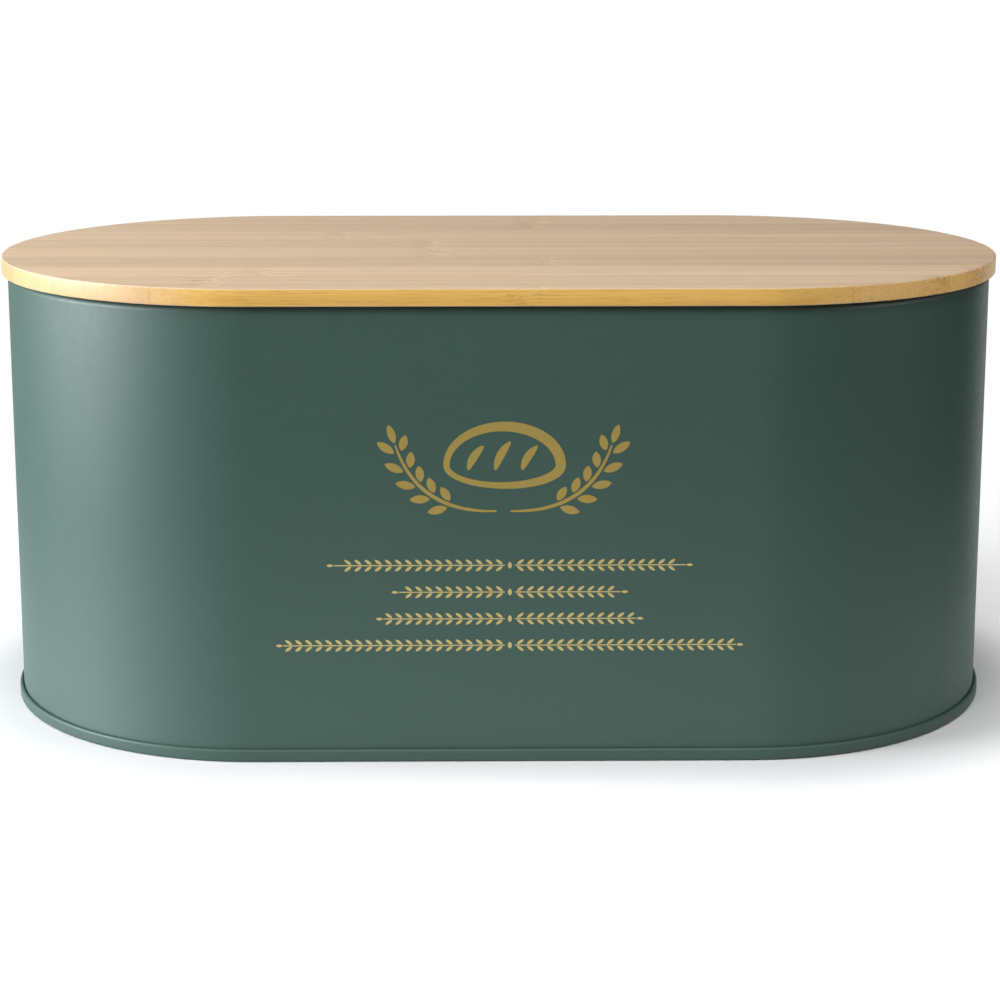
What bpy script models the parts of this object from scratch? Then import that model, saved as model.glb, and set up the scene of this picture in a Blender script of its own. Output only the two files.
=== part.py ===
"""Oval bread bin: a drawn and seamed sheet-steel bin with a lift-off bamboo lid.

Run with:  blender --background --python part.py
Metres, +Z up. The origin is the middle of the footprint, at the height that the bin stands on.
+X runs along the bin, and -Y is its front.

Everything is built on one plan outline: two half circles joined by straight sides. A place in a
section is written (outset, height): outset is the distance outside the wall's outer face, so it is
negative inside the bin, and height is above the surface that the bin stands on.
"""

from math import copysign, cos, pi, radians, sin

import bmesh
import bpy
from mathutils import Vector

# Driving dimensions
LID_LENGTH = 0.340
LID_WIDTH = 0.180
OVERALL_HEIGHT = 0.154
LID_OVERHANG = 0.002
LID_THICKNESS = 0.0057
SHEET = 0.0004
CLEARANCE = 0.0003

# Plan outline of the wall's outer face
WALL_RADIUS = LID_WIDTH / 2 - LID_OVERHANG
HALF_STRAIGHT = (LID_LENGTH - LID_WIDTH) / 2

# How finely curves are cut into flats
TURN_STEPS = 24
CURL_STEPS = 8
BEND_STEPS = 4
EDGE_SEGMENTS = 3
SHARP_ANGLE = radians(35)

# Wall: hooked out at the foot, curled in at the rim
HALF_SHEET = SHEET / 2
WALL_MID = -HALF_SHEET
HOOK_MID = WALL_MID + SHEET + CLEARANCE
HOOK_BEND_HEIGHT = 0.0013
HOOK_TOP = 0.0030
LID_UNDERSIDE = OVERALL_HEIGHT - LID_THICKNESS
RIM_TOP = LID_UNDERSIDE - CLEARANCE
CURL_RADIUS = 0.0018
CURL_HEIGHT = RIM_TOP - CURL_RADIUS - HALF_SHEET
CURL_TURN = 290
SIDE_SEAM_WIDTH = 0.005
SIDE_SEAM_THICKNESS = 2 * SHEET
SIDE_SEAM_FOOT = 0.0075
SIDE_SEAM_BELOW_CURL = 0.001
SIDE_SEAM_TOP = CURL_HEIGHT - CURL_RADIUS - HALF_SHEET - SIDE_SEAM_BELOW_CURL

# Base: wrapped round the wall's hook, with its panel raised inside the seam
SEAM_MID = HOOK_MID + SHEET + CLEARANCE
SEAM_TOP = 0.0041
SEAM_BEND = 0.0006
LIP_END = CLEARANCE
CHUCK_MID = WALL_MID - SHEET - CLEARANCE
PANEL_HEIGHT = 0.0048
PANEL_BEND = 0.0008
STEP_OUTSET = -0.014
STEP_WIDTH = 0.003
STEP_RISE = 0.0012

# Lid: a board, an inner board glued under it, and a seal in the inner board's groove
BOARD_EDGE = 0.0005
PLUG_OUTSET = -0.0050
PLUG_THICKNESS = 0.006
PLUG_EDGE = 0.0006
GROOVE_DEPTH = 0.0018
GROOVE_HALF_HEIGHT = 0.001
GROOVE_BELOW_BOARD = 0.0024
GROOVE_HEIGHT = LID_UNDERSIDE - GROOVE_BELOW_BOARD
SEAL_BASE_HALF_HEIGHT = GROOVE_HALF_HEIGHT - CLEARANCE
SEAL_RIB_REACH = 0.0007
SEAL_RIB_HALF_WIDTH = 0.0002

# Colours are linear RGB
BIN_GREEN = (0.072, 0.128, 0.112, 1)
BAMBOO = (0.62, 0.40, 0.19, 1)
SILICONE = (0.78, 0.77, 0.74, 1)


def remove_everything():
    """Start from an empty scene."""
    for old in list(bpy.data.objects):
        bpy.data.objects.remove(old, do_unlink=True)


def make_material(name, colour, roughness):
    """A plain Principled material."""
    material = bpy.data.materials.new(name)
    material.use_nodes = True
    shader = material.node_tree.nodes["Principled BSDF"]
    shader.inputs["Base Color"].default_value = colour
    shader.inputs["Roughness"].default_value = roughness
    material.diffuse_color = colour
    return material


def make_collection(name):
    """A new collection in the scene."""
    collection = bpy.data.collections.new(name)
    bpy.context.scene.collection.children.link(collection)
    return collection


def make_empty(name, collection, height):
    """The parent of one moving group, on the lid's line of travel."""
    empty = bpy.data.objects.new(name, None)
    empty.empty_display_size = LID_WIDTH / 4
    empty.location.z = height
    collection.objects.link(empty)
    return empty


def arc(outset, height, radius, start, end, steps):
    """Section points on an arc about (outset, height), in degrees from straight outwards."""
    points = []
    for step in range(steps + 1):
        angle = radians(start + (end - start) * step / steps)
        points.append((outset + radius * cos(angle), height + radius * sin(angle)))
    return points


def place_on_outline(vert, outset, height):
    """Move a vertex straight in or out of the plan outline, and to a height."""
    turn_centre = Vector((copysign(HALF_STRAIGHT, vert.co.x), 0, 0))
    outward = Vector((vert.co.x, vert.co.y, 0)) - turn_centre
    vert.co = turn_centre + outward.normalized() * (WALL_RADIUS + outset)
    vert.co.z = height


def first_ring(bm):
    """The plan outline as a closed ring of edges, with two half circles of TURN_STEPS each."""
    verts = []
    for side, start in ((1, -pi / 2), (-1, pi / 2)):
        for step in range(TURN_STEPS + 1):
            angle = start + pi * step / TURN_STEPS
            across = WALL_RADIUS * cos(angle)
            verts.append(bm.verts.new((side * HALF_STRAIGHT + across, WALL_RADIUS * sin(angle), 0)))
    return [bm.edges.new(pair) for pair in zip(verts, verts[1:] + verts[:1])]


def sweep_section(bm, section):
    """Carry a section round the plan outline. Returns its first and last rings of edges."""
    first = first_ring(bm)
    for vert in bm.verts:
        place_on_outline(vert, *section[0])
    ring = first
    for outset, height in section[1:]:
        extruded = bmesh.ops.extrude_edge_only(bm, edges=ring)["geom"]
        ring = [item for item in extruded if isinstance(item, bmesh.types.BMEdge)]
        for vert in [item for item in extruded if isinstance(item, bmesh.types.BMVert)]:
            place_on_outline(vert, outset, height)
    return first, ring


def make_object(name, bm, material, collection, parent):
    """Turn a bmesh in world space into a shaded object whose origin is its parent's."""
    bmesh.ops.recalc_face_normals(bm, faces=bm.faces)
    bmesh.ops.translate(bm, verts=bm.verts, vec=-parent.location)
    mesh = bpy.data.meshes.new(name)
    bm.to_mesh(mesh)
    bm.free()
    mesh.materials.append(material)
    mesh.shade_smooth()
    mesh.set_sharp_from_angle(angle=SHARP_ANGLE)
    made = bpy.data.objects.new(name, mesh)
    made.parent = parent
    collection.objects.link(made)
    return made


def thicken(sheet_object):
    """Give an open sheet the steel's thickness, half on each side."""
    solidify = sheet_object.modifiers.new("sheet", "SOLIDIFY")
    solidify.thickness = SHEET
    solidify.offset = 0
    solidify.use_even_offset = True


def round_edges(block, width):
    """Round a block's sharp edges."""
    bevel = block.modifiers.new("rounded edges", "BEVEL")
    bevel.width = width
    bevel.segments = EDGE_SEGMENTS
    bevel.limit_method = "ANGLE"
    bevel.angle_limit = SHARP_ANGLE


def make_side_wall(material, collection, cutters, parent):
    """The bin's wall: one sheet round the outline, closed by a folded seam at the back."""
    section = [(HOOK_MID, HOOK_TOP)]
    bend_centre = (HOOK_MID + WALL_MID) / 2
    bend_radius = (HOOK_MID - WALL_MID) / 2
    section += arc(bend_centre, HOOK_BEND_HEIGHT, bend_radius, 0, -180, BEND_STEPS)
    section += arc(WALL_MID - CURL_RADIUS, CURL_HEIGHT, CURL_RADIUS, 0, CURL_TURN, CURL_STEPS)
    bm = bmesh.new()
    sweep_section(bm, section)
    wall = make_object("side_wall", bm, material, collection, parent)
    thicken(wall)

    seam = make_side_seam(material, cutters, parent)
    union = wall.modifiers.new("side seam", "BOOLEAN")
    union.operation = "UNION"
    union.solver = "EXACT"
    union.object = seam
    return wall


def make_side_seam(material, cutters, parent):
    """The two extra layers of the folded side seam, flat against the inside of the back."""
    outer_face = WALL_RADIUS - HALF_SHEET
    inner_face = WALL_RADIUS - SHEET - SIDE_SEAM_THICKNESS
    size = (SIDE_SEAM_WIDTH, outer_face - inner_face, SIDE_SEAM_TOP - SIDE_SEAM_FOOT)
    middle = (0, (outer_face + inner_face) / 2, (SIDE_SEAM_TOP + SIDE_SEAM_FOOT) / 2)
    bm = bmesh.new()
    bmesh.ops.create_cube(bm, size=1)
    bmesh.ops.scale(bm, verts=bm.verts, vec=size)
    bmesh.ops.translate(bm, verts=bm.verts, vec=middle)
    seam = make_object("side_seam_fold", bm, material, cutters, parent)
    seam.hide_render = True
    seam.display_type = "WIRE"
    return seam


def make_base_panel(material, collection, parent):
    """The base: a lip and bead round the wall's foot, then a raised panel with a shallow step."""
    lip_height = SEAM_TOP - HALF_SHEET
    foot = HALF_SHEET + SEAM_BEND
    section = [(LIP_END, lip_height)]
    section += arc(SEAM_MID - SEAM_BEND, lip_height - SEAM_BEND, SEAM_BEND, 90, 0, BEND_STEPS)
    section += arc(SEAM_MID - SEAM_BEND, foot, SEAM_BEND, 0, -90, BEND_STEPS)
    section += arc(CHUCK_MID + SEAM_BEND, foot, SEAM_BEND, -90, -180, BEND_STEPS)
    section += arc(CHUCK_MID - PANEL_BEND, PANEL_HEIGHT - PANEL_BEND, PANEL_BEND, 0, 90, BEND_STEPS)
    for point in range(BEND_STEPS + 1):
        share = point / BEND_STEPS
        rise = STEP_RISE * (1 - cos(pi * share)) / 2
        section.append((STEP_OUTSET - STEP_WIDTH * share, PANEL_HEIGHT + rise))
    bm = bmesh.new()
    _, last = sweep_section(bm, section)
    bmesh.ops.holes_fill(bm, edges=last)
    base = make_object("base_panel", bm, material, collection, parent)
    thicken(base)
    return base


def make_block(name, section, material, collection, parent):
    """A solid with the plan outline, from a section that runs from its underside to its top."""
    bm = bmesh.new()
    for ring in sweep_section(bm, section):
        bmesh.ops.holes_fill(bm, edges=ring)
    return make_object(name, bm, material, collection, parent)


def make_lid_board(material, collection, parent):
    """The lid's visible board, which overhangs the wall."""
    section = [(LID_OVERHANG, LID_UNDERSIDE), (LID_OVERHANG, OVERALL_HEIGHT)]
    board = make_block("lid_board", section, material, collection, parent)
    round_edges(board, BOARD_EDGE)
    return board


def make_lid_plug(material, collection, parent):
    """The inner board that drops inside the rim, with a groove for the seal round its edge."""
    top = LID_UNDERSIDE - CLEARANCE
    bottom = top - PLUG_THICKNESS
    groove_floor = PLUG_OUTSET - GROOVE_DEPTH
    section = [
        (PLUG_OUTSET - PLUG_EDGE, bottom),
        (PLUG_OUTSET, bottom + PLUG_EDGE),
        (PLUG_OUTSET, GROOVE_HEIGHT - GROOVE_HALF_HEIGHT),
        (groove_floor, GROOVE_HEIGHT - GROOVE_HALF_HEIGHT),
        (groove_floor, GROOVE_HEIGHT + GROOVE_HALF_HEIGHT),
        (PLUG_OUTSET, GROOVE_HEIGHT + GROOVE_HALF_HEIGHT),
        (PLUG_OUTSET, top),
    ]
    return make_block("lid_plug", section, material, collection, parent)


def make_lid_seal(material, collection, parent):
    """The silicone ring in the groove, with two ribs that reach towards the rim."""
    inner = PLUG_OUTSET - GROOVE_DEPTH + CLEARANCE
    rib_offset = SEAL_BASE_HALF_HEIGHT - SEAL_RIB_HALF_WIDTH
    rib_tip = PLUG_OUTSET + SEAL_RIB_REACH - SEAL_RIB_HALF_WIDTH
    lower_rib = arc(rib_tip, GROOVE_HEIGHT - rib_offset, SEAL_RIB_HALF_WIDTH, -90, 90, BEND_STEPS)
    upper_rib = arc(rib_tip, GROOVE_HEIGHT + rib_offset, SEAL_RIB_HALF_WIDTH, -90, 90, BEND_STEPS)
    section = [(inner, GROOVE_HEIGHT - SEAL_BASE_HALF_HEIGHT)]
    section += lower_rib
    section.append((PLUG_OUTSET, GROOVE_HEIGHT - SEAL_RIB_HALF_WIDTH))
    section.append((PLUG_OUTSET, GROOVE_HEIGHT + SEAL_RIB_HALF_WIDTH))
    section += upper_rib
    section.append((inner, GROOVE_HEIGHT + SEAL_BASE_HALF_HEIGHT))
    section.append(section[0])
    bm = bmesh.new()
    sweep_section(bm, section)
    bmesh.ops.remove_doubles(bm, verts=bm.verts, dist=CLEARANCE / 100)
    return make_object("lid_seal", bm, material, collection, parent)


def build():
    """Make the whole bread bin."""
    remove_everything()
    parts = make_collection("bread_bin")
    cutters = make_collection("bread_bin_folds")
    paint = make_material("green paint", BIN_GREEN, 0.5)
    bamboo = make_material("bamboo", BAMBOO, 0.4)
    silicone = make_material("silicone", SILICONE, 0.55)

    bin_group = make_empty("bin", parts, 0)
    make_side_wall(paint, parts, cutters, bin_group)
    make_base_panel(paint, parts, bin_group)

    lid_group = make_empty("lid", parts, LID_UNDERSIDE)
    make_lid_board(bamboo, parts, lid_group)
    make_lid_plug(bamboo, parts, lid_group)
    make_lid_seal(silicone, parts, lid_group)
    bpy.context.view_layer.update()


build()
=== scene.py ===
"""Looks of the oval bread bin: fine meshes, paint, bamboo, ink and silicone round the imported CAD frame.

Metres, in the CAD model's own frame: +X along the bin, -Y its front, +Z up from the surface that it
stands on. A place in a section is written (outset, height), as in the CAD: outset is the distance
outside the wall's outer face, and height is above the floor.
"""

from math import atan2, cos, degrees, pi, radians, sin

import bmesh
import bpy
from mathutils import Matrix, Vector


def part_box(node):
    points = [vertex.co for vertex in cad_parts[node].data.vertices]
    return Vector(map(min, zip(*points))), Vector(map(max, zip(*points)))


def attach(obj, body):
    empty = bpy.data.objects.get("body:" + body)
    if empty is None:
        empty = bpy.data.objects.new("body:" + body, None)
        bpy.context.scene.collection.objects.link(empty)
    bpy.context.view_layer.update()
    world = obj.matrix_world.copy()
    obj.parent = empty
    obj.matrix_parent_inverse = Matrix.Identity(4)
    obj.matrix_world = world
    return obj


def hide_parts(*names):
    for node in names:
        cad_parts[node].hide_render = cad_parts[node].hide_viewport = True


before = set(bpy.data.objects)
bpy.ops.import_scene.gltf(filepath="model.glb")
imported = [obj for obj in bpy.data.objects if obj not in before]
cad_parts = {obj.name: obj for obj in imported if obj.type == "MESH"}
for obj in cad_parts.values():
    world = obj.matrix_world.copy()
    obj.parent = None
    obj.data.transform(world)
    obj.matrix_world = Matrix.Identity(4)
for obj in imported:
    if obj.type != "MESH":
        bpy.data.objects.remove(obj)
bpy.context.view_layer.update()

# Sizes that the frame gives
LID_LOW, LID_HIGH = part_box("lid_board")
PLUG_LOW, PLUG_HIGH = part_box("lid_plug")
SEAL_LOW, SEAL_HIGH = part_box("lid_seal")
_, WALL_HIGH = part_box("side_wall")
BASE_LOW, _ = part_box("base_panel")

# Sizes that the CAD design sets
SHEET = 0.0004
HALF_SHEET = SHEET / 2
CLEARANCE = 0.0003
LID_OVERHANG = 0.002
HALF_STRAIGHT = LID_HIGH.x - LID_HIGH.y
WALL_RADIUS = LID_HIGH.y - LID_OVERHANG
WALL_MID = -HALF_SHEET
HOOK_MID = WALL_MID + SHEET + CLEARANCE
HOOK_BEND_HEIGHT = 0.0013
HOOK_TOP = 0.0030
CURL_RADIUS = 0.0018
CURL_HEIGHT = WALL_HIGH.z - CURL_RADIUS - HALF_SHEET
CURL_TURN = 290
SEAM_MID = HOOK_MID + SHEET + CLEARANCE
SEAM_TOP = 0.0041
SEAM_BEND = 0.0006
CHUCK_MID = WALL_MID - SHEET - CLEARANCE
PANEL_HEIGHT = 0.0048
PANEL_BEND = 0.0008
STEP_OUTSET = -0.014
STEP_WIDTH = 0.003
STEP_RISE = 0.0012
PLUG_OUTSET = PLUG_HIGH.y - WALL_RADIUS
GROOVE_DEPTH = 0.0018
GROOVE_HALF_HEIGHT = 0.001
SIDE_SEAM_WIDTH = 0.005
SIDE_SEAM_THICKNESS = 2 * SHEET
SIDE_SEAM_FOOT = 0.0075
SIDE_SEAM_BELOW_CURL = 0.001
BOARD_EDGE = 0.0005
PLUG_EDGE = 0.0006
SEAL_RIB_HALF_WIDTH = 0.0002

# Sizes that only the visual meshes have
SIDE_SEAM_EDGE = 0.0003
SIDE_SEAM_EDGE_STEPS = 3
# The groove down the back seam: the depth of its middle, then (x, depth) rows outwards. The last row
# keeps the groove's shading from spreading over the flat back.
SEAM_GROOVE_DEPTH = 0.00022
SEAM_GROOVE = ((0.0002, 0.00012), (0.0006, 0.0), (0.0010, 0.0))

# How fine the visual meshes are
TURN_STEPS = 96
BEND_STEPS = 8
SHARP_ANGLE = 40
BLOCK_SHARP_ANGLE = 30
PRINT_SHARP_ANGLE = 20

MM_PER_METRE = 1000.0


# ---------------------------------------------------------------- meshes


def arc(outset, height, radius, start, end, steps):
    """Section points on an arc about (outset, height), in degrees from straight outwards."""
    points = []
    for step in range(steps + 1):
        angle = radians(start + (end - start) * step / steps)
        points.append((outset + radius * cos(angle), height + radius * sin(angle)))
    return points


def outline(back_marks=()):
    """The plan outline as (point, outward direction, dent) rows. A back mark is (x, dent), and adds
    a point on the straight back, set in by its dent."""
    rows = []
    for side, start in ((1, -pi / 2), (-1, pi / 2)):
        for step in range(TURN_STEPS + 1):
            angle = start + pi * step / TURN_STEPS
            outward = Vector((cos(angle), sin(angle), 0))
            rows.append((Vector((side * HALF_STRAIGHT, 0, 0)), outward, 0.0))
        if side == 1:
            for x, dent in sorted(back_marks, reverse=True):
                rows.append((Vector((x, 0, 0)), Vector((0, 1, 0)), dent))
    return rows


def sweep_section(bm, section, rows, closed=False):
    """Carry a section round an outline. Returns the rings of vertices."""
    rings = []
    for outset, height in section:
        ring = []
        for centre, outward, dent in rows:
            place = centre + outward * (WALL_RADIUS + outset - dent)
            ring.append(bm.verts.new((place.x, place.y, height)))
        rings.append(ring)
    pairs = list(zip(rings, rings[1:]))
    if closed:
        pairs.append((rings[-1], rings[0]))
    for lower, upper in pairs:
        for here in range(len(rows)):
            after = (here + 1) % len(rows)
            bm.faces.new((lower[here], lower[after], upper[after], upper[here]))
    return rings


def finish_mesh(name, bm, material, body, node=None, sharp_angle=SHARP_ANGLE):
    """Make a shaded piece from a bmesh, which rides on a body and may stand for a CAD node."""
    bmesh.ops.recalc_face_normals(bm, faces=bm.faces)
    mesh = bpy.data.meshes.new(name)
    bm.to_mesh(mesh)
    bm.free()
    mesh.materials.append(material)
    mesh.shade_smooth()
    mesh.set_sharp_from_angle(angle=radians(sharp_angle))
    piece = bpy.data.objects.new(name, mesh)
    bpy.context.scene.collection.objects.link(piece)
    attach(piece, body)
    if node:
        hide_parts(node)
    return piece


def thicken(piece):
    """Give an open sheet the steel's thickness, half on each side."""
    solidify = piece.modifiers.new("sheet", "SOLIDIFY")
    solidify.thickness = SHEET
    solidify.offset = 0
    solidify.use_even_offset = True


def make_wall(material):
    """The steel wall, with the fine line of its folded seam down the back."""
    bend_centre = (HOOK_MID + WALL_MID) / 2
    section = [(HOOK_MID, HOOK_TOP)]
    section += arc(bend_centre, HOOK_BEND_HEIGHT, (HOOK_MID - WALL_MID) / 2, 0, -180, BEND_STEPS)
    section.append((WALL_MID, CURL_HEIGHT / 2))
    section += arc(WALL_MID - CURL_RADIUS, CURL_HEIGHT, CURL_RADIUS, 0, CURL_TURN, 3 * BEND_STEPS)
    groove = [(0, SEAM_GROOVE_DEPTH)]
    for side in (-1, 1):
        groove += [(side * x, depth) for x, depth in SEAM_GROOVE]
    bm = bmesh.new()
    sweep_section(bm, section, outline(groove))
    wall = finish_mesh("painted_wall", bm, material, "bin", "side_wall")
    thicken(wall)
    return wall


def make_side_seam(material):
    """The folded layers of the side seam, flat against the inside of the back."""
    outer = WALL_RADIUS - HALF_SHEET
    inner = WALL_RADIUS - SHEET - SIDE_SEAM_THICKNESS
    top = CURL_HEIGHT - CURL_RADIUS - HALF_SHEET - SIDE_SEAM_BELOW_CURL
    size = (SIDE_SEAM_WIDTH, outer - inner, top - SIDE_SEAM_FOOT)
    middle = (0, (outer + inner) / 2, (top + SIDE_SEAM_FOOT) / 2)
    bm = bmesh.new()
    bmesh.ops.create_cube(bm, size=1)
    bmesh.ops.scale(bm, verts=bm.verts, vec=size)
    bmesh.ops.translate(bm, verts=bm.verts, vec=middle)
    bmesh.ops.bevel(
        bm, geom=bm.edges, offset=SIDE_SEAM_EDGE, segments=SIDE_SEAM_EDGE_STEPS, affect="EDGES"
    )
    return finish_mesh("side_seam_fold", bm, material, "bin")


def make_base(material):
    """The base: the bead round the wall's foot, then the raised panel with its shallow step."""
    lip_height = SEAM_TOP - HALF_SHEET
    foot = HALF_SHEET + SEAM_BEND
    section = [(CLEARANCE, lip_height)]
    section += arc(SEAM_MID - SEAM_BEND, lip_height - SEAM_BEND, SEAM_BEND, 90, 0, BEND_STEPS)
    section += arc(SEAM_MID - SEAM_BEND, foot, SEAM_BEND, 0, -90, BEND_STEPS)
    section += arc(CHUCK_MID + SEAM_BEND, foot, SEAM_BEND, -90, -180, BEND_STEPS)
    section += arc(CHUCK_MID - PANEL_BEND, PANEL_HEIGHT - PANEL_BEND, PANEL_BEND, 0, 90, BEND_STEPS)
    for point in range(BEND_STEPS + 1):
        share = point / BEND_STEPS
        rise = STEP_RISE * (1 - cos(pi * share)) / 2
        section.append((STEP_OUTSET - STEP_WIDTH * share, PANEL_HEIGHT + rise))
    bm = bmesh.new()
    rings = sweep_section(bm, section, outline())
    bm.faces.new(rings[-1])
    base = finish_mesh("painted_base", bm, material, "bin", "base_panel")
    thicken(base)
    return base


def make_block(name, section, material, node):
    """A solid with the plan outline, from a section that runs from its underside to its top."""
    bm = bmesh.new()
    rings = sweep_section(bm, section, outline())
    bm.faces.new(list(reversed(rings[0])))
    bm.faces.new(rings[-1])
    return finish_mesh(name, bm, material, "lid", node, BLOCK_SHARP_ANGLE)


def make_lid_board(material):
    """The lid's board, with its worn-smooth edges."""
    edge_middle = LID_HIGH.y - WALL_RADIUS - BOARD_EDGE
    section = arc(edge_middle, LID_LOW.z + BOARD_EDGE, BOARD_EDGE, -90, 0, BEND_STEPS)
    section += arc(edge_middle, LID_HIGH.z - BOARD_EDGE, BOARD_EDGE, 0, 90, BEND_STEPS)
    return make_block("bamboo_board", section, material, "lid_board")


def make_lid_plug(material):
    """The inner board, with its groove for the seal."""
    groove_middle = (SEAL_LOW.z + SEAL_HIGH.z) / 2
    groove_floor = PLUG_OUTSET - GROOVE_DEPTH
    section = arc(PLUG_OUTSET - PLUG_EDGE, PLUG_LOW.z + PLUG_EDGE, PLUG_EDGE, -90, 0, BEND_STEPS)
    groove_low = groove_middle - GROOVE_HALF_HEIGHT
    groove_high = groove_middle + GROOVE_HALF_HEIGHT
    section += [(PLUG_OUTSET, groove_low), (groove_floor, groove_low)]
    section += [(groove_floor, groove_high), (PLUG_OUTSET, groove_high)]
    section.append((PLUG_OUTSET, PLUG_HIGH.z))
    return make_block("bamboo_plug", section, material, "lid_plug")


def make_seal(material):
    """The silicone ring with its two soft ribs."""
    middle = (SEAL_LOW.z + SEAL_HIGH.z) / 2
    half = (SEAL_HIGH.z - SEAL_LOW.z) / 2
    rib = SEAL_RIB_HALF_WIDTH
    inner = PLUG_OUTSET - GROOVE_DEPTH + CLEARANCE
    tip = SEAL_HIGH.y - WALL_RADIUS - rib
    valley = PLUG_OUTSET + rib
    section = [(inner, middle - half)]
    section += arc(tip, middle - half + rib, rib, -90, 90, BEND_STEPS)
    section += arc(valley, middle, half - 2 * rib, -90, -270, BEND_STEPS)
    section += arc(tip, middle + half - rib, rib, -90, 90, BEND_STEPS)
    section.append((inner, middle + half))
    bm = bmesh.new()
    sweep_section(bm, section, outline(), closed=True)
    return finish_mesh("silicone_seal", bm, material, "lid", "lid_seal")


# ---------------------------------------------------------------- front print

# The print is drawn in millimetres on the flat front, as (x along the bin, height above the floor).
# A heading or a lean is in degrees, and the turn of the loaf's swell is in radians.
INK_THICKNESS = 0.00004
INK_SINK = 0.00001
BRUSH_POWER = 0.7
GRAIN_LEAN = 36
GRAIN_TIP = 0.12
GRAIN_STEPS = 8

EMBLEM_MIDDLE = Vector((0.5, 97.5))
LOAF_HALF_WIDTH = 18.0
LOAF_DOME = 12.5
LOAF_SOLE = 6.5
LOAF_STROKE = 2.6
LOAF_SWELL = 0.8
LOAF_SWELL_TURN = 0.9
LOAF_STEPS = 72
CUT_PLACES = (-8.5, 0.0, 8.5)
CUT_FOOT = Vector((-2.6, -1.5))
CUT_TOP = Vector((2.2, 7.6))
CUT_BOW = Vector((-1.4, 0.6))
CUT_TOP_FALL = 0.16
CUT_WIDTH = 2.6
CUT_TIP = 0.5
CUT_STEPS = 12

# The right-hand ear of the emblem, from the emblem's middle
EAR_FOOT = Vector((2.2, -14.8))
EAR_PULL = Vector((27.0, -15.5))
EAR_TOP = Vector((34.0, 6.5))
EAR_STEPS = 40
EAR_STALK_WIDTH = 1.2
EAR_STALK_TIP = 0.5
EAR_GRAIN_STEPS = range(14, 39, 6)
EAR_GRAIN_OFFSET = 1.2
EAR_GRAIN_WIDTH = 2.7
EAR_GRAIN_SHORT = 5.2
EAR_GRAIN_LONG = 6.4
EAR_END_GAP = 0.7
EAR_END_LENGTH = 6.2
EAR_END_WIDTH = 2.5

# The border's rows, as (height, half length)
BORDER_MIDDLE = 2.5
BORDER_ROWS = ((65.0, 58.0), (56.2, 37.5), (47.4, 42.5), (38.6, 74.5))
BORDER_STALK_WIDTH = 0.34
BORDER_STALK_START = 1.6
BORDER_STALK_SHORT = 2.2
BORDER_GRAIN_SHORT = 4.0
BORDER_GRAIN_START = 0.7
BORDER_GRAIN_PITCH = 3.2
BORDER_GRAIN_OFFSET = 0.34
BORDER_GRAIN_LENGTH = 2.6
BORDER_GRAIN_WIDTH = 0.92
BORDER_END_GAP = 0.25
BORDER_END_LENGTH = 2.0
BORDER_END_WIDTH = 0.9
BORDER_BUD_DROP = 1.1
BORDER_BUD_LENGTH = 2.2
BORDER_BUD_WIDTH = 1.3


def ribbon(bm, spine, widths, closed=False):
    """A flat stroke of ink with a changing width, as a thin closed solid."""
    count = len(spine)
    rails = []
    for here, (place, width) in enumerate(zip(spine, widths)):
        before = spine[here - 1] if closed or here > 0 else place
        after = spine[(here + 1) % count] if closed or here < count - 1 else place
        across = (after - before).normalized().orthogonal() * (width / 2)
        corners = []
        for side in (-1, 1):
            edge = (place + across * side) / MM_PER_METRE
            for depth in (INK_SINK, -INK_THICKNESS):
                corners.append(bm.verts.new((edge.x, depth - WALL_RADIUS, edge.y)))
        rails.append((corners[0], corners[1], corners[3], corners[2]))
    joins = list(zip(rails, rails[1:]))
    if closed:
        joins.append((rails[-1], rails[0]))
    for first, second in joins:
        for corner in range(4):
            follow = (corner + 1) % 4
            bm.faces.new((first[corner], second[corner], second[follow], first[follow]))
    if not closed:
        bm.faces.new(rails[0])
        bm.faces.new(tuple(reversed(rails[-1])))


def curve(start, pull, end, steps):
    """Points on a curve that leaves its start and reaches its end by way of a pull point."""
    points = []
    for step in range(steps + 1):
        share = step / steps
        points.append(start.lerp(pull, share).lerp(pull.lerp(end, share), share))
    return points


def brush(bm, points, widest, tip):
    """A stroke that swells from a fine tip to its widest and back."""
    last = len(points) - 1
    swell = [sin(pi * here / last) ** BRUSH_POWER for here in range(last + 1)]
    widths = [tip + (widest - tip) * share for share in swell]
    ribbon(bm, points, widths)


def grain(bm, root, heading, length, width):
    """One almond-shaped grain, from its root along a heading."""
    way = Vector((cos(radians(heading)), sin(radians(heading))))
    points = [root + way * (length * step / GRAIN_STEPS) for step in range(GRAIN_STEPS + 1)]
    brush(bm, points, width, GRAIN_TIP)


def mirrored(place, side):
    """A place as it is on the right, side 1, or its mirror image on the left, side -1."""
    return Vector((side * place.x, place.y))


def draw_loaf(bm, middle):
    """A round-topped loaf drawn with one brush line, and the cuts across its crust."""
    spine = []
    widths = []
    for step in range(LOAF_STEPS):
        angle = 2 * pi * step / LOAF_STEPS
        rise = LOAF_DOME if sin(angle) > 0 else LOAF_SOLE
        spine.append(middle + Vector((LOAF_HALF_WIDTH * cos(angle), rise * sin(angle))))
        widths.append(LOAF_STROKE + LOAF_SWELL * sin(angle + LOAF_SWELL_TURN))
    ribbon(bm, spine, widths, closed=True)
    for place in CUT_PLACES:
        foot = middle + CUT_FOOT + Vector((place, 0))
        top = middle + CUT_TOP + Vector((place, -abs(place) * CUT_TOP_FALL))
        bow = (foot + top) / 2 + CUT_BOW
        brush(bm, curve(foot, bow, top, CUT_STEPS), CUT_WIDTH, CUT_TIP)


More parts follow.
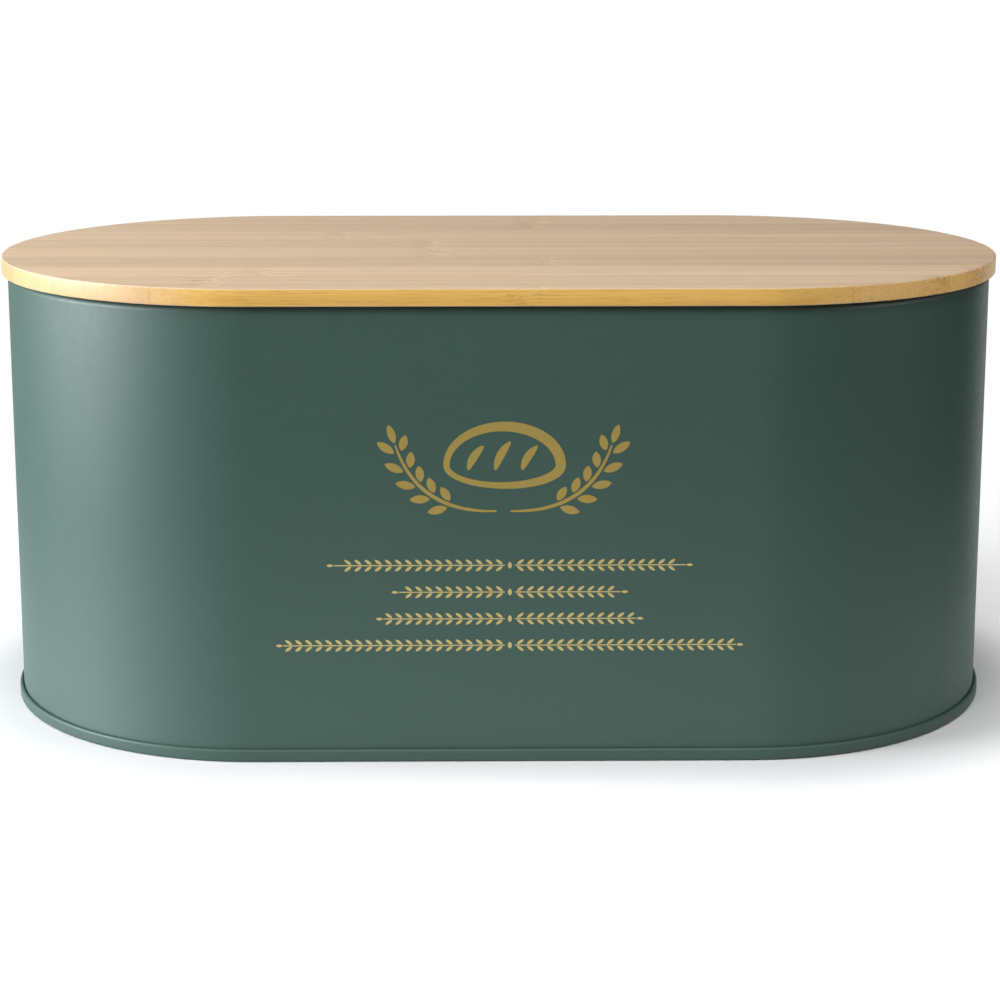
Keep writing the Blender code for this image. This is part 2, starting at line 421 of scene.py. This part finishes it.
def draw_ear(bm, middle, side):
    """A wheat ear that leans out from under the loaf, its grains in pairs up the stalk."""
    foot, pull, top = [middle + mirrored(place, side) for place in (EAR_FOOT, EAR_PULL, EAR_TOP)]
    stalk = curve(foot, pull, top, EAR_STEPS)
    brush(bm, stalk, EAR_STALK_WIDTH, EAR_STALK_TIP)
    for step in EAR_GRAIN_STEPS:
        along = stalk[step + 1] - stalk[step - 1]
        heading = degrees(atan2(along.y, along.x))
        across = along.normalized().orthogonal()
        for hand in (1, -1):
            length = EAR_GRAIN_SHORT if hand == side else EAR_GRAIN_LONG
            root = stalk[step] + across * (hand * EAR_GRAIN_OFFSET)
            grain(bm, root, heading + GRAIN_LEAN * hand, length, EAR_GRAIN_WIDTH)
    last = stalk[-1] - stalk[-2]
    root = stalk[-1] + last.normalized() * EAR_END_GAP
    grain(bm, root, degrees(atan2(last.y, last.x)), EAR_END_LENGTH, EAR_END_WIDTH)


def draw_border(bm, height, half_length):
    """One row of the small border: fine stalks with leaning grains, mirrored about a bud."""
    middle = Vector((BORDER_MIDDLE, height))
    for side in (-1, 1):
        outwards = Vector((side, 0))
        heading = 0 if side > 0 else 180
        start = middle + outwards * BORDER_STALK_START
        end = middle + outwards * (half_length - BORDER_STALK_SHORT)
        ribbon(bm, [start, (start + end) / 2, end], [BORDER_STALK_WIDTH] * 3)
        pairs = int((half_length - BORDER_GRAIN_SHORT) / BORDER_GRAIN_PITCH)
        for pair in range(pairs):
            foot = start + outwards * (BORDER_GRAIN_START + pair * BORDER_GRAIN_PITCH)
            for hand in (-1, 1):
                root = foot + Vector((0, hand * BORDER_GRAIN_OFFSET))
                lean = heading + side * hand * GRAIN_LEAN
                grain(bm, root, lean, BORDER_GRAIN_LENGTH, BORDER_GRAIN_WIDTH)
        grain(bm, end + outwards * BORDER_END_GAP, heading, BORDER_END_LENGTH, BORDER_END_WIDTH)
    grain(bm, middle - Vector((0, BORDER_BUD_DROP)), 90, BORDER_BUD_LENGTH, BORDER_BUD_WIDTH)


def make_front_print(material):
    """The gold print on the flat front: a loaf between two wheat ears over four rows of grains."""
    bm = bmesh.new()
    draw_loaf(bm, EMBLEM_MIDDLE)
    for side in (-1, 1):
        draw_ear(bm, EMBLEM_MIDDLE, side)
    for height, half_length in BORDER_ROWS:
        draw_border(bm, height, half_length)
    return finish_mesh("front_print", bm, material, "bin", sharp_angle=PRINT_SHARP_ANGLE)


# ---------------------------------------------------------------- materials

# Most of a noise's values fall between these two
NOISE_LOW = 0.3
NOISE_HIGH = 0.7


class Graph:
    """Short ways to add and join the nodes of one shader. A noise's scale is in features for each
    unit of its place, which is a millimetre on every piece here."""

    def __init__(self, tree):
        self.tree = tree

    def add(self, kind, inputs=None, **settings):
        """Add a node, set its properties, and feed or set its inputs."""
        node = self.tree.nodes.new(kind)
        for name, value in settings.items():
            setattr(node, name, value)
        for name, value in (inputs or {}).items():
            self.feed(node.inputs[name], value)
        return node

    def feed(self, socket, value):
        """Link a socket to another, or set its value."""
        if isinstance(value, bpy.types.NodeSocket):
            self.tree.links.new(value, socket)
        else:
            socket.default_value = value

    def math(self, operation, *values):
        """One Math node's result."""
        node = self.add("ShaderNodeMath", operation=operation)
        for socket, value in zip(node.inputs, values):
            self.feed(socket, value)
        return node.outputs[0]

    def plus(self, first, second):
        """The sum of two numbers."""
        return self.math("ADD", first, second)

    def minus(self, first, second):
        """The first number less the second."""
        return self.math("SUBTRACT", first, second)

    def times(self, first, second):
        """The product of two numbers."""
        return self.math("MULTIPLY", first, second)

    def size(self, value):
        """A number without its sign."""
        return self.math("ABSOLUTE", value)

    def join(self, x, y, z):
        """Three numbers as a vector."""
        return self.add("ShaderNodeCombineXYZ", {"X": x, "Y": y, "Z": z}).outputs[0]

    def split(self, vector):
        """A vector's three numbers."""
        return self.add("ShaderNodeSeparateXYZ", {0: vector}).outputs

    def coordinates(self, kind):
        """One of the surface's own coordinate vectors."""
        return self.add("ShaderNodeTexCoord").outputs[kind]

    def noise(self, vector, scale, detail=2.0):
        """Noise from 0 to 1."""
        inputs = {"Vector": vector, "Scale": scale, "Detail": detail}
        return self.add("ShaderNodeTexNoise", inputs).outputs["Fac"]

    def steps(self, value, levels, first):
        """Look up a level from 0 to 1 for each whole value, counting up from the first."""
        half_step = 0.5
        share = self.math("DIVIDE", self.plus(value, half_step - first), len(levels))
        node = self.add("ShaderNodeValToRGB", {"Fac": share})
        ramp = node.color_ramp
        ramp.interpolation = "CONSTANT"
        ramp.elements.remove(ramp.elements[1])
        for place, level in enumerate(levels):
            position = place / len(levels)
            stop = ramp.elements.new(position) if place else ramp.elements[0]
            stop.position = position
            stop.color = (level, level, level, 1)
        return node.outputs["Color"]

    def fade(self, value, low, high, start=0.0, end=1.0):
        """Run smoothly from start to end as a value goes from low to high."""
        inputs = {"Value": value, "From Min": low, "From Max": high, "To Min": start, "To Max": end}
        node = self.add("ShaderNodeMapRange", inputs, interpolation_type="SMOOTHSTEP")
        return node.outputs["Result"]

    def spread(self, noise, start=0.0, end=1.0):
        """Run from start to end over the values that a noise mostly has."""
        return self.fade(noise, NOISE_LOW, NOISE_HIGH, start, end)

    def tint(self, colour, other, noise, low, high, most):
        """Bring in another colour as a noise goes from low to high, up to a share at most."""
        return self.blend(self.fade(noise, low, high, 0.0, most), colour, other)

    def blend(self, share, first, second, mode="MIX"):
        """Mix two colours."""
        node = self.add("ShaderNodeMix", data_type="RGBA", blend_type=mode)
        self.feed(node.inputs["Factor"], share)
        self.feed(node.inputs[6], first)
        self.feed(node.inputs[7], second)
        return node.outputs[2]

    def bump(self, height, distance, strength=1.0, normal=None):
        """A bump from a height in units of distance."""
        inputs = {"Height": height, "Distance": distance, "Strength": strength}
        if normal is not None:
            inputs["Normal"] = normal
        return self.add("ShaderNodeBump", inputs).outputs[0]


def new_material(name):
    """A material with its graph and its Principled shader."""
    material = bpy.data.materials.new(name)
    material.use_nodes = True
    shader = material.node_tree.nodes["Principled BSDF"]
    return material, Graph(material.node_tree), shader


def place_mm(graph):
    """The surface's own place on the piece, in millimetres."""
    inputs = {0: graph.coordinates("Object"), "Scale": MM_PER_METRE}
    return graph.add("ShaderNodeVectorMath", inputs, operation="SCALE").outputs[0]


PAINT_DEEP = (0.032, 0.071, 0.057, 1)
PAINT_LIGHT = (0.036, 0.078, 0.063, 1)
PEEL_HEIGHT = 0.00001
PAINT_GRAIN_HEIGHT = 0.000004


def paint_material():
    """Deep green powder coat: even colour, fine orange peel, a satin skin."""
    material, graph, shader = new_material("green powder coat")
    place = place_mm(graph)
    cloud = graph.noise(place, scale=0.03, detail=3.0)
    graph.feed(shader.inputs["Base Color"], graph.blend(cloud, PAINT_DEEP, PAINT_LIGHT))
    wear = graph.noise(place, scale=0.4, detail=4.0)
    graph.feed(shader.inputs["Roughness"], graph.spread(wear, start=0.48, end=0.54))
    fine = graph.bump(graph.noise(place, scale=5.0, detail=1.0), PAINT_GRAIN_HEIGHT)
    peel = graph.noise(place, scale=0.9)
    graph.feed(shader.inputs["Normal"], graph.bump(peel, PEEL_HEIGHT, normal=fine))
    return material


# The lid's bamboo, in millimetres: its strips run along X, counted from the front, and each has the
# place of a node and a tone from dark 0 to light 1
STRIP_WIDTH = 21.5
STRIP_SHIFT = 20.5
FIRST_STRIP = -4
STRIPS = (
    (8, 0.50), (-95, 0.50), (-78, 0.80), (13, 0.15), (-24, 0.60),
    (-26, 0.45), (-58, 0.75), (10, 0.35), (12, 0.65), (-90, 0.50),
)
STRIP_APART = 37.0
NODE_GAP = 235.0
NODE_CORE = 1.0
NODE_REACH = 8.0
NODE_WANDER = 9.0
NODE_SWIRL = 2.2
PATCH_FROM_NODE = 4.5
PATCH_CORE = 0.5
PATCH_REACH = 4.0
GLUE_CORE = 0.03
GLUE_REACH = 0.20
GLUE_SHARE = 0.20
END_TURN = 60
END_SHARE = 0.70
TOP_AND_SHEEN_SHARE = 0.5
DARK_STRIP = 0.92
LIGHT_STRIP = 1.08
DULLED_BY_SANDING = 0.25
SPECKS_EVERYWHERE = 0.34
SPECKS_AT_NODE = 0.45

BAMBOO_DEEP = (0.65, 0.37, 0.084, 1)
BAMBOO_LIGHT = (0.76, 0.475, 0.125, 1)
BAMBOO_BAND = (0.72, 0.40, 0.100, 1)
BAMBOO_FIBRE = (0.40, 0.21, 0.06, 1)
BAMBOO_DASH = (0.52, 0.26, 0.055, 1)
# The board's end grain: the left end's colour is darkened as painted shade and the right end's lightened
# as painted light, against the strong light from the left
BAMBOO_LEFT_END_PAINTED_SHADE = (0.47, 0.335, 0.20, 1)
BAMBOO_RIGHT_END_PAINTED_LIGHT = (0.92, 0.58, 0.22, 1)
# The top faces' colour: partly the face grain's own paler tone, partly a painted sheen, paler and greyer
# like the reflection of bright surroundings
BAMBOO_TOP_AND_SHEEN_DEEP = (0.50, 0.44, 0.44, 1)
BAMBOO_TOP_AND_SHEEN_LIGHT = (0.57, 0.525, 0.52, 1)
BAMBOO_NODE = (0.30, 0.17, 0.07, 1)
BAMBOO_PATCH = (0.86, 0.68, 0.42, 1)
BAMBOO_GLUE = (0.30, 0.17, 0.07, 1)
BAMBOO_SPECK = (0.46, 0.21, 0.05, 1)
FIBRE_RELIEF = 0.00003


class Bamboo:
    """Where a point of the bamboo is: on which strip, how far from a node, and along which fibres."""

    def __init__(self, graph):
        self.graph = graph
        self.place = place_mm(graph)
        self.x, self.y, self.z = graph.split(self.place)
        across = graph.math("DIVIDE", graph.plus(self.y, STRIP_SHIFT), STRIP_WIDTH)
        self.strip = graph.math("FLOOR", across)
        self.across = graph.math("FRACT", across)
        normal = graph.split(graph.coordinates("Normal"))
        self.end_on = graph.fade(graph.size(normal[0]), low=0.10, high=0.40)
        self.level = graph.fade(graph.size(normal[2]), low=0.15, high=0.75)
        self.from_node = self.find_node()
        self.near_node = graph.fade(graph.size(self.from_node), NODE_CORE, NODE_REACH, 1.0, 0.0)
        self.lay_fibres()

    def find_node(self):
        """How far along X the strip's nearest node is. A node wanders a little across its strip."""
        graph = self.graph
        shares = [node / NODE_GAP + 0.5 for node, _ in STRIPS]
        node_share = graph.minus(graph.steps(self.strip, shares, FIRST_STRIP), 0.5)
        along = graph.minus(graph.math("DIVIDE", self.x, NODE_GAP), node_share)
        nearest = graph.minus(graph.math("FRACT", graph.plus(along, 0.5)), 0.5)
        wave = graph.noise(graph.join(self.strip, self.y, self.z), scale=0.20)
        wander = graph.times(graph.minus(wave, 0.5), NODE_WANDER)
        return graph.plus(graph.times(nearest, NODE_GAP), wander)

    def lay_fibres(self):
        """Turn the fibres aside near a node, and give each strip its own."""
        graph = self.graph
        sway = graph.minus(graph.noise(self.place, scale=0.30, detail=1.0), 0.5)
        swirl = graph.times(sway, graph.times(self.near_node, NODE_SWIRL))
        apart = graph.times(self.strip, STRIP_APART)
        self.fibre_y = graph.plus(graph.plus(self.y, swirl), apart)
        self.fibre_z = graph.plus(self.z, swirl)

    def fibres(self, stretch, scale, detail=2.0):
        """Noise drawn out along the fibres, the longer the smaller its stretch."""
        graph = self.graph
        place = graph.join(graph.times(self.x, stretch), self.fibre_y, self.fibre_z)
        return graph.noise(place, scale, detail)


def bamboo_fibre_colour(bamboo, fine):
    """Golden sides with darker fibres and dashes, end grain of its own tone with painted shade on the
    left end and painted light on the right end, and top faces made paler and greyer, partly their own
    tone and partly painted sheen.
    """
    graph = bamboo.graph
    middle = bamboo.fibres(stretch=0.012, scale=1.1)
    broad = graph.spread(bamboo.fibres(stretch=0.010, scale=0.35, detail=3.0))
    short = bamboo.fibres(stretch=0.050, scale=2.2, detail=1.0)
    colour = graph.blend(broad, BAMBOO_DEEP, BAMBOO_LIGHT)
    colour = graph.tint(colour, BAMBOO_BAND, middle, low=0.35, high=0.65, most=0.45)
    colour = graph.tint(colour, BAMBOO_FIBRE, fine, low=0.54, high=0.72, most=0.40)
    colour = graph.tint(colour, BAMBOO_DASH, short, low=0.56, high=0.70, most=0.42)
    # Painted light: the end grain runs from a darker left end (painted shade) to a lighter right end
    # (painted light)
    painted_light_side = graph.fade(bamboo.x, -END_TURN, END_TURN)
    end_grain_and_painted_light = graph.blend(painted_light_side, BAMBOO_LEFT_END_PAINTED_SHADE, BAMBOO_RIGHT_END_PAINTED_LIGHT)
    colour = graph.blend(graph.times(bamboo.end_on, END_SHARE), colour, end_grain_and_painted_light)
    # Top faces: partly their own paler tone, partly painted sheen
    top_and_sheen = graph.blend(broad, BAMBOO_TOP_AND_SHEEN_DEEP, BAMBOO_TOP_AND_SHEEN_LIGHT)
    colour = graph.blend(graph.times(bamboo.level, TOP_AND_SHEEN_SHARE), colour, top_and_sheen)
    tone = graph.steps(bamboo.strip, [tone for _, tone in STRIPS], FIRST_STRIP)
    shade = graph.fade(tone, 0.0, 1.0, start=DARK_STRIP, end=LIGHT_STRIP)
    return graph.blend(1.0, colour, graph.join(shade, shade, shade), mode="MULTIPLY")


def mark_nodes(bamboo, colour):
    """At a node the fibres break into short dark dashes, with a pale patch beside them."""
    graph = bamboo.graph
    broken = bamboo.fibres(stretch=0.22, scale=0.9)
    dashes = graph.fade(broken, low=0.50, high=0.66, start=0.0, end=0.42)
    colour = graph.blend(graph.times(dashes, bamboo.near_node), colour, BAMBOO_NODE)
    from_patch = graph.size(graph.minus(bamboo.from_node, PATCH_FROM_NODE))
    beside = graph.fade(from_patch, PATCH_CORE, PATCH_REACH, 1.0, 0.0)
    patch = graph.fade(graph.noise(bamboo.place, scale=0.33), low=0.40, high=0.65, start=0.0, end=0.35)
    return graph.blend(graph.times(beside, patch), colour, BAMBOO_PATCH)


def mark_glue(bamboo, colour):
    """The thin glue line between strips."""
    graph = bamboo.graph
    edge = graph.math("MINIMUM", bamboo.across, graph.minus(1.0, bamboo.across))
    glue = graph.fade(graph.times(edge, STRIP_WIDTH), GLUE_CORE, GLUE_REACH, GLUE_SHARE, 0.0)
    return graph.blend(glue, colour, BAMBOO_GLUE)


def mark_fibre_ends(bamboo, colour):
    """Cut fibre ends, thickest at a node, which only the board's rounded ends show."""
    graph = bamboo.graph
    ends = bamboo.fibres(stretch=0.10, scale=3.0, detail=1.0)
    specks = graph.fade(ends, low=0.50, high=0.64)
    crowd = graph.plus(graph.times(bamboo.near_node, SPECKS_AT_NODE), SPECKS_EVERYWHERE)
    return graph.blend(graph.times(specks, graph.times(bamboo.end_on, crowd)), colour, BAMBOO_SPECK)


def bamboo_material():
    """Pressed bamboo: strips with their nodes and fibres, satin at its edge and duller where sanded."""
    material, graph, shader = new_material("pressed bamboo")
    bamboo = Bamboo(graph)
    fine = bamboo.fibres(stretch=0.016, scale=2.4)
    colour = bamboo_fibre_colour(bamboo, fine)
    for mark in (mark_nodes, mark_glue, mark_fibre_ends):
        colour = mark(bamboo, colour)
    graph.feed(shader.inputs["Base Color"], colour)
    satin = graph.fade(fine, low=0.30, high=0.75, start=0.38, end=0.48)
    dulled = graph.times(bamboo.level, DULLED_BY_SANDING)
    graph.feed(shader.inputs["Roughness"], graph.plus(satin, dulled))
    graph.feed(shader.inputs["Normal"], graph.bump(fine, FIBRE_RELIEF, strength=0.5))
    return material


INK_DEEP = (0.31, 0.22, 0.048, 1)
INK_LIGHT = (0.37, 0.27, 0.066, 1)
INK_PALE = (0.50, 0.40, 0.15, 1)
INK_PALE_BELOW = 68.0
INK_FULL_ABOVE = 80.0


def ink_material():
    """Flat gold ink, paler in the small rows, with the faint mottle of its metal flakes."""
    material, graph, shader = new_material("gold ink")
    place = place_mm(graph)
    mottle = graph.noise(place, scale=3.5, detail=3.0)
    colour = graph.blend(graph.spread(mottle), INK_DEEP, INK_LIGHT)
    pale = graph.fade(graph.split(place)[2], INK_PALE_BELOW, INK_FULL_ABOVE, 1.0, 0.0)
    graph.feed(shader.inputs["Base Color"], graph.blend(pale, colour, INK_PALE))
    graph.feed(shader.inputs["Roughness"], graph.spread(mottle, start=0.5, end=0.62))
    shader.inputs["Metallic"].default_value = 0.2
    return material


SILICONE_DEEP = (0.70, 0.69, 0.66, 1)
SILICONE_LIGHT = (0.80, 0.79, 0.76, 1)


def silicone_material():
    """Milky silicone rubber, slightly see-through to light."""
    material, graph, shader = new_material("milky silicone")
    bloom = graph.noise(place_mm(graph), scale=0.8, detail=3.0)
    graph.feed(shader.inputs["Base Color"], graph.blend(bloom, SILICONE_DEEP, SILICONE_LIGHT))
    graph.feed(shader.inputs["Roughness"], graph.spread(bloom, start=0.42, end=0.55))
    shader.inputs["Subsurface Weight"].default_value = 0.3
    shader.inputs["Subsurface Scale"].default_value = 0.001
    return material


# ---------------------------------------------------------------- stage

FLOOR_HALF_SIZE = 1.2
FLOOR_DROP = 0.0001
FLOOR_COLOUR = (0.70, 0.70, 0.705, 1)
FLOOR_PAINTED_LIGHT = 0.36
WHITE = (1, 1, 1)
COOL_WHITE = (0.93, 0.97, 1.0)
SOFTBOX_DISTANCE = 1.5

CAMERA_LENS = 87.04
CAMERA_SENSOR = 36.0
CAMERA_SHIFT = -0.0977
CAMERA_PLACE = (-0.00885, -0.8283, 0.2698)
CAMERA_LOOK_DOWN = 0.20258
CAMERA_TURN = -0.01109


def distance_from_wall(graph):
    """How far a point of the floor is outside the wall's outline, in metres."""
    x, y, _ = graph.split(graph.coordinates("Object"))
    past_straight = graph.math("MAXIMUM", graph.minus(graph.size(x), HALF_STRAIGHT), 0.0)
    squares = graph.plus(graph.math("POWER", past_straight, 2.0), graph.math("POWER", y, 2.0))
    return graph.minus(graph.math("SQRT", squares), WALL_RADIUS)


def floor_material():
    """Pale and dull, with a glow of painted light that grows away from the bin and leaves painted shadow
    on the floor by the wall, and fading out into the background.
    """
    material, graph, shader = new_material("pale floor")
    shader.inputs["Base Color"].default_value = FLOOR_COLOUR
    shader.inputs["Roughness"].default_value = 0.9
    shader.inputs["Specular IOR Level"].default_value = 0.0
    shader.inputs["Emission Color"].default_value = (*WHITE, 1)
    from_wall = distance_from_wall(graph)
    # Painted light: the floor glows more the farther it is from the wall, so the floor by the bin stays
    # darker as painted shadow
    painted_glow = graph.fade(from_wall, low=0.002, high=0.045, start=0.0, end=FLOOR_PAINTED_LIGHT)
    graph.feed(shader.inputs["Emission Strength"], painted_glow)
    clear = graph.add("ShaderNodeBsdfTransparent").outputs[0]
    inputs = {0: graph.fade(from_wall, low=0.06, high=0.26), 1: shader.outputs[0], 2: clear}
    mixed = graph.add("ShaderNodeMixShader", inputs)
    graph.feed(material.node_tree.nodes["Material Output"].inputs["Surface"], mixed.outputs[0])
    return material


def make_floor():
    """The floor that the bin stands on."""
    bm = bmesh.new()
    bmesh.ops.create_grid(bm, x_segments=1, y_segments=1, size=FLOOR_HALF_SIZE)
    mesh = bpy.data.meshes.new("floor")
    bm.to_mesh(mesh)
    bm.free()
    mesh.materials.append(floor_material())
    floor = bpy.data.objects.new("floor", mesh)
    bpy.context.scene.collection.objects.link(floor)
    floor.location.z = BASE_LOW.z - FLOOR_DROP


def make_world():
    """A white background, and soft light from above that is fuller from behind on the left."""
    world = bpy.data.worlds.new("studio")
    bpy.context.scene.world = world
    world.use_nodes = True
    graph = Graph(world.node_tree)
    x, y, z = graph.split(graph.coordinates("Generated"))
    above = graph.fade(z, low=-0.05, high=0.5, start=0.02, end=0.15)
    behind = graph.fade(y, low=0.2, high=0.9, start=0.0, end=0.47)
    left = graph.fade(x, low=-0.2, high=0.6, start=1.0, end=0.05)
    strength = graph.plus(graph.times(behind, left), above)
    light = graph.add("ShaderNodeBackground", {"Strength": strength})
    shown = graph.add("ShaderNodeBackground", {"Color": (*WHITE, 1), "Strength": 1.0})
    seen = graph.add("ShaderNodeLightPath").outputs["Is Camera Ray"]
    mixed = graph.add("ShaderNodeMixShader", {0: seen, 1: light.outputs[0], 2: shown.outputs[0]})
    graph.feed(world.node_tree.nodes["World Output"].inputs["Surface"], mixed.outputs[0])


def make_softbox(name, azimuth, elevation, width, height, power, colour=WHITE):
    """A rectangular soft light turned to the bin, at an azimuth in degrees from the front, positive to
    the right, and an elevation in degrees above the bin's middle."""
    middle = Vector((0, 0, LID_HIGH.z / 2))
    turn = radians(azimuth)
    rise = radians(elevation)
    level = cos(rise)
    way = Vector((sin(turn) * level, -cos(turn) * level, sin(rise)))
    lamp = bpy.data.lights.new(name, "AREA")
    lamp.shape = "RECTANGLE"
    lamp.size = width
    lamp.size_y = height
    lamp.energy = power
    lamp.color = colour
    light = bpy.data.objects.new(name, lamp)
    bpy.context.scene.collection.objects.link(light)
    light.location = middle + way * SOFTBOX_DISTANCE
    light.rotation_euler = (-way).to_track_quat("-Z", "Y").to_euler()
    light.visible_camera = False


def make_lights():
    """A large cool light at the left, one over the front, and weak ones at the right."""
    make_softbox("key_left", -82, 12, width=0.9, height=0.65, power=36, colour=COOL_WHITE)
    make_softbox("key_front_left", -66, 14, width=0.5, height=0.5, power=11.5, colour=COOL_WHITE)
    make_softbox("front_overhead", -4, 55, width=1.3, height=0.6, power=14)
    make_softbox("fill_right", 66, 24, width=0.5, height=0.5, power=4.6)
    make_softbox("rim_right", 140, -12, width=0.4, height=0.8, power=1.6)


def make_camera():
    """The camera: a long lens in front of the bin, a little above it and looking slightly down."""
    data = bpy.data.cameras.new("camera")
    data.lens = CAMERA_LENS
    data.sensor_width = CAMERA_SENSOR
    data.shift_y = CAMERA_SHIFT
    camera = bpy.data.objects.new("camera", data)
    bpy.context.scene.collection.objects.link(camera)
    camera.location = CAMERA_PLACE
    camera.rotation_euler = (pi / 2 - CAMERA_LOOK_DOWN, 0, CAMERA_TURN)
    bpy.context.scene.camera = camera


def build():
    """Make every piece, then the stage."""
    paint = paint_material()
    bamboo = bamboo_material()
    make_wall(paint)
    make_side_seam(paint)
    make_base(paint)
    make_lid_board(bamboo)
    make_lid_plug(bamboo)
    make_seal(silicone_material())
    make_front_print(ink_material())
    make_floor()
    make_world()
    make_lights()
    make_camera()
    bpy.context.scene.view_settings.view_transform = "Standard"


build()
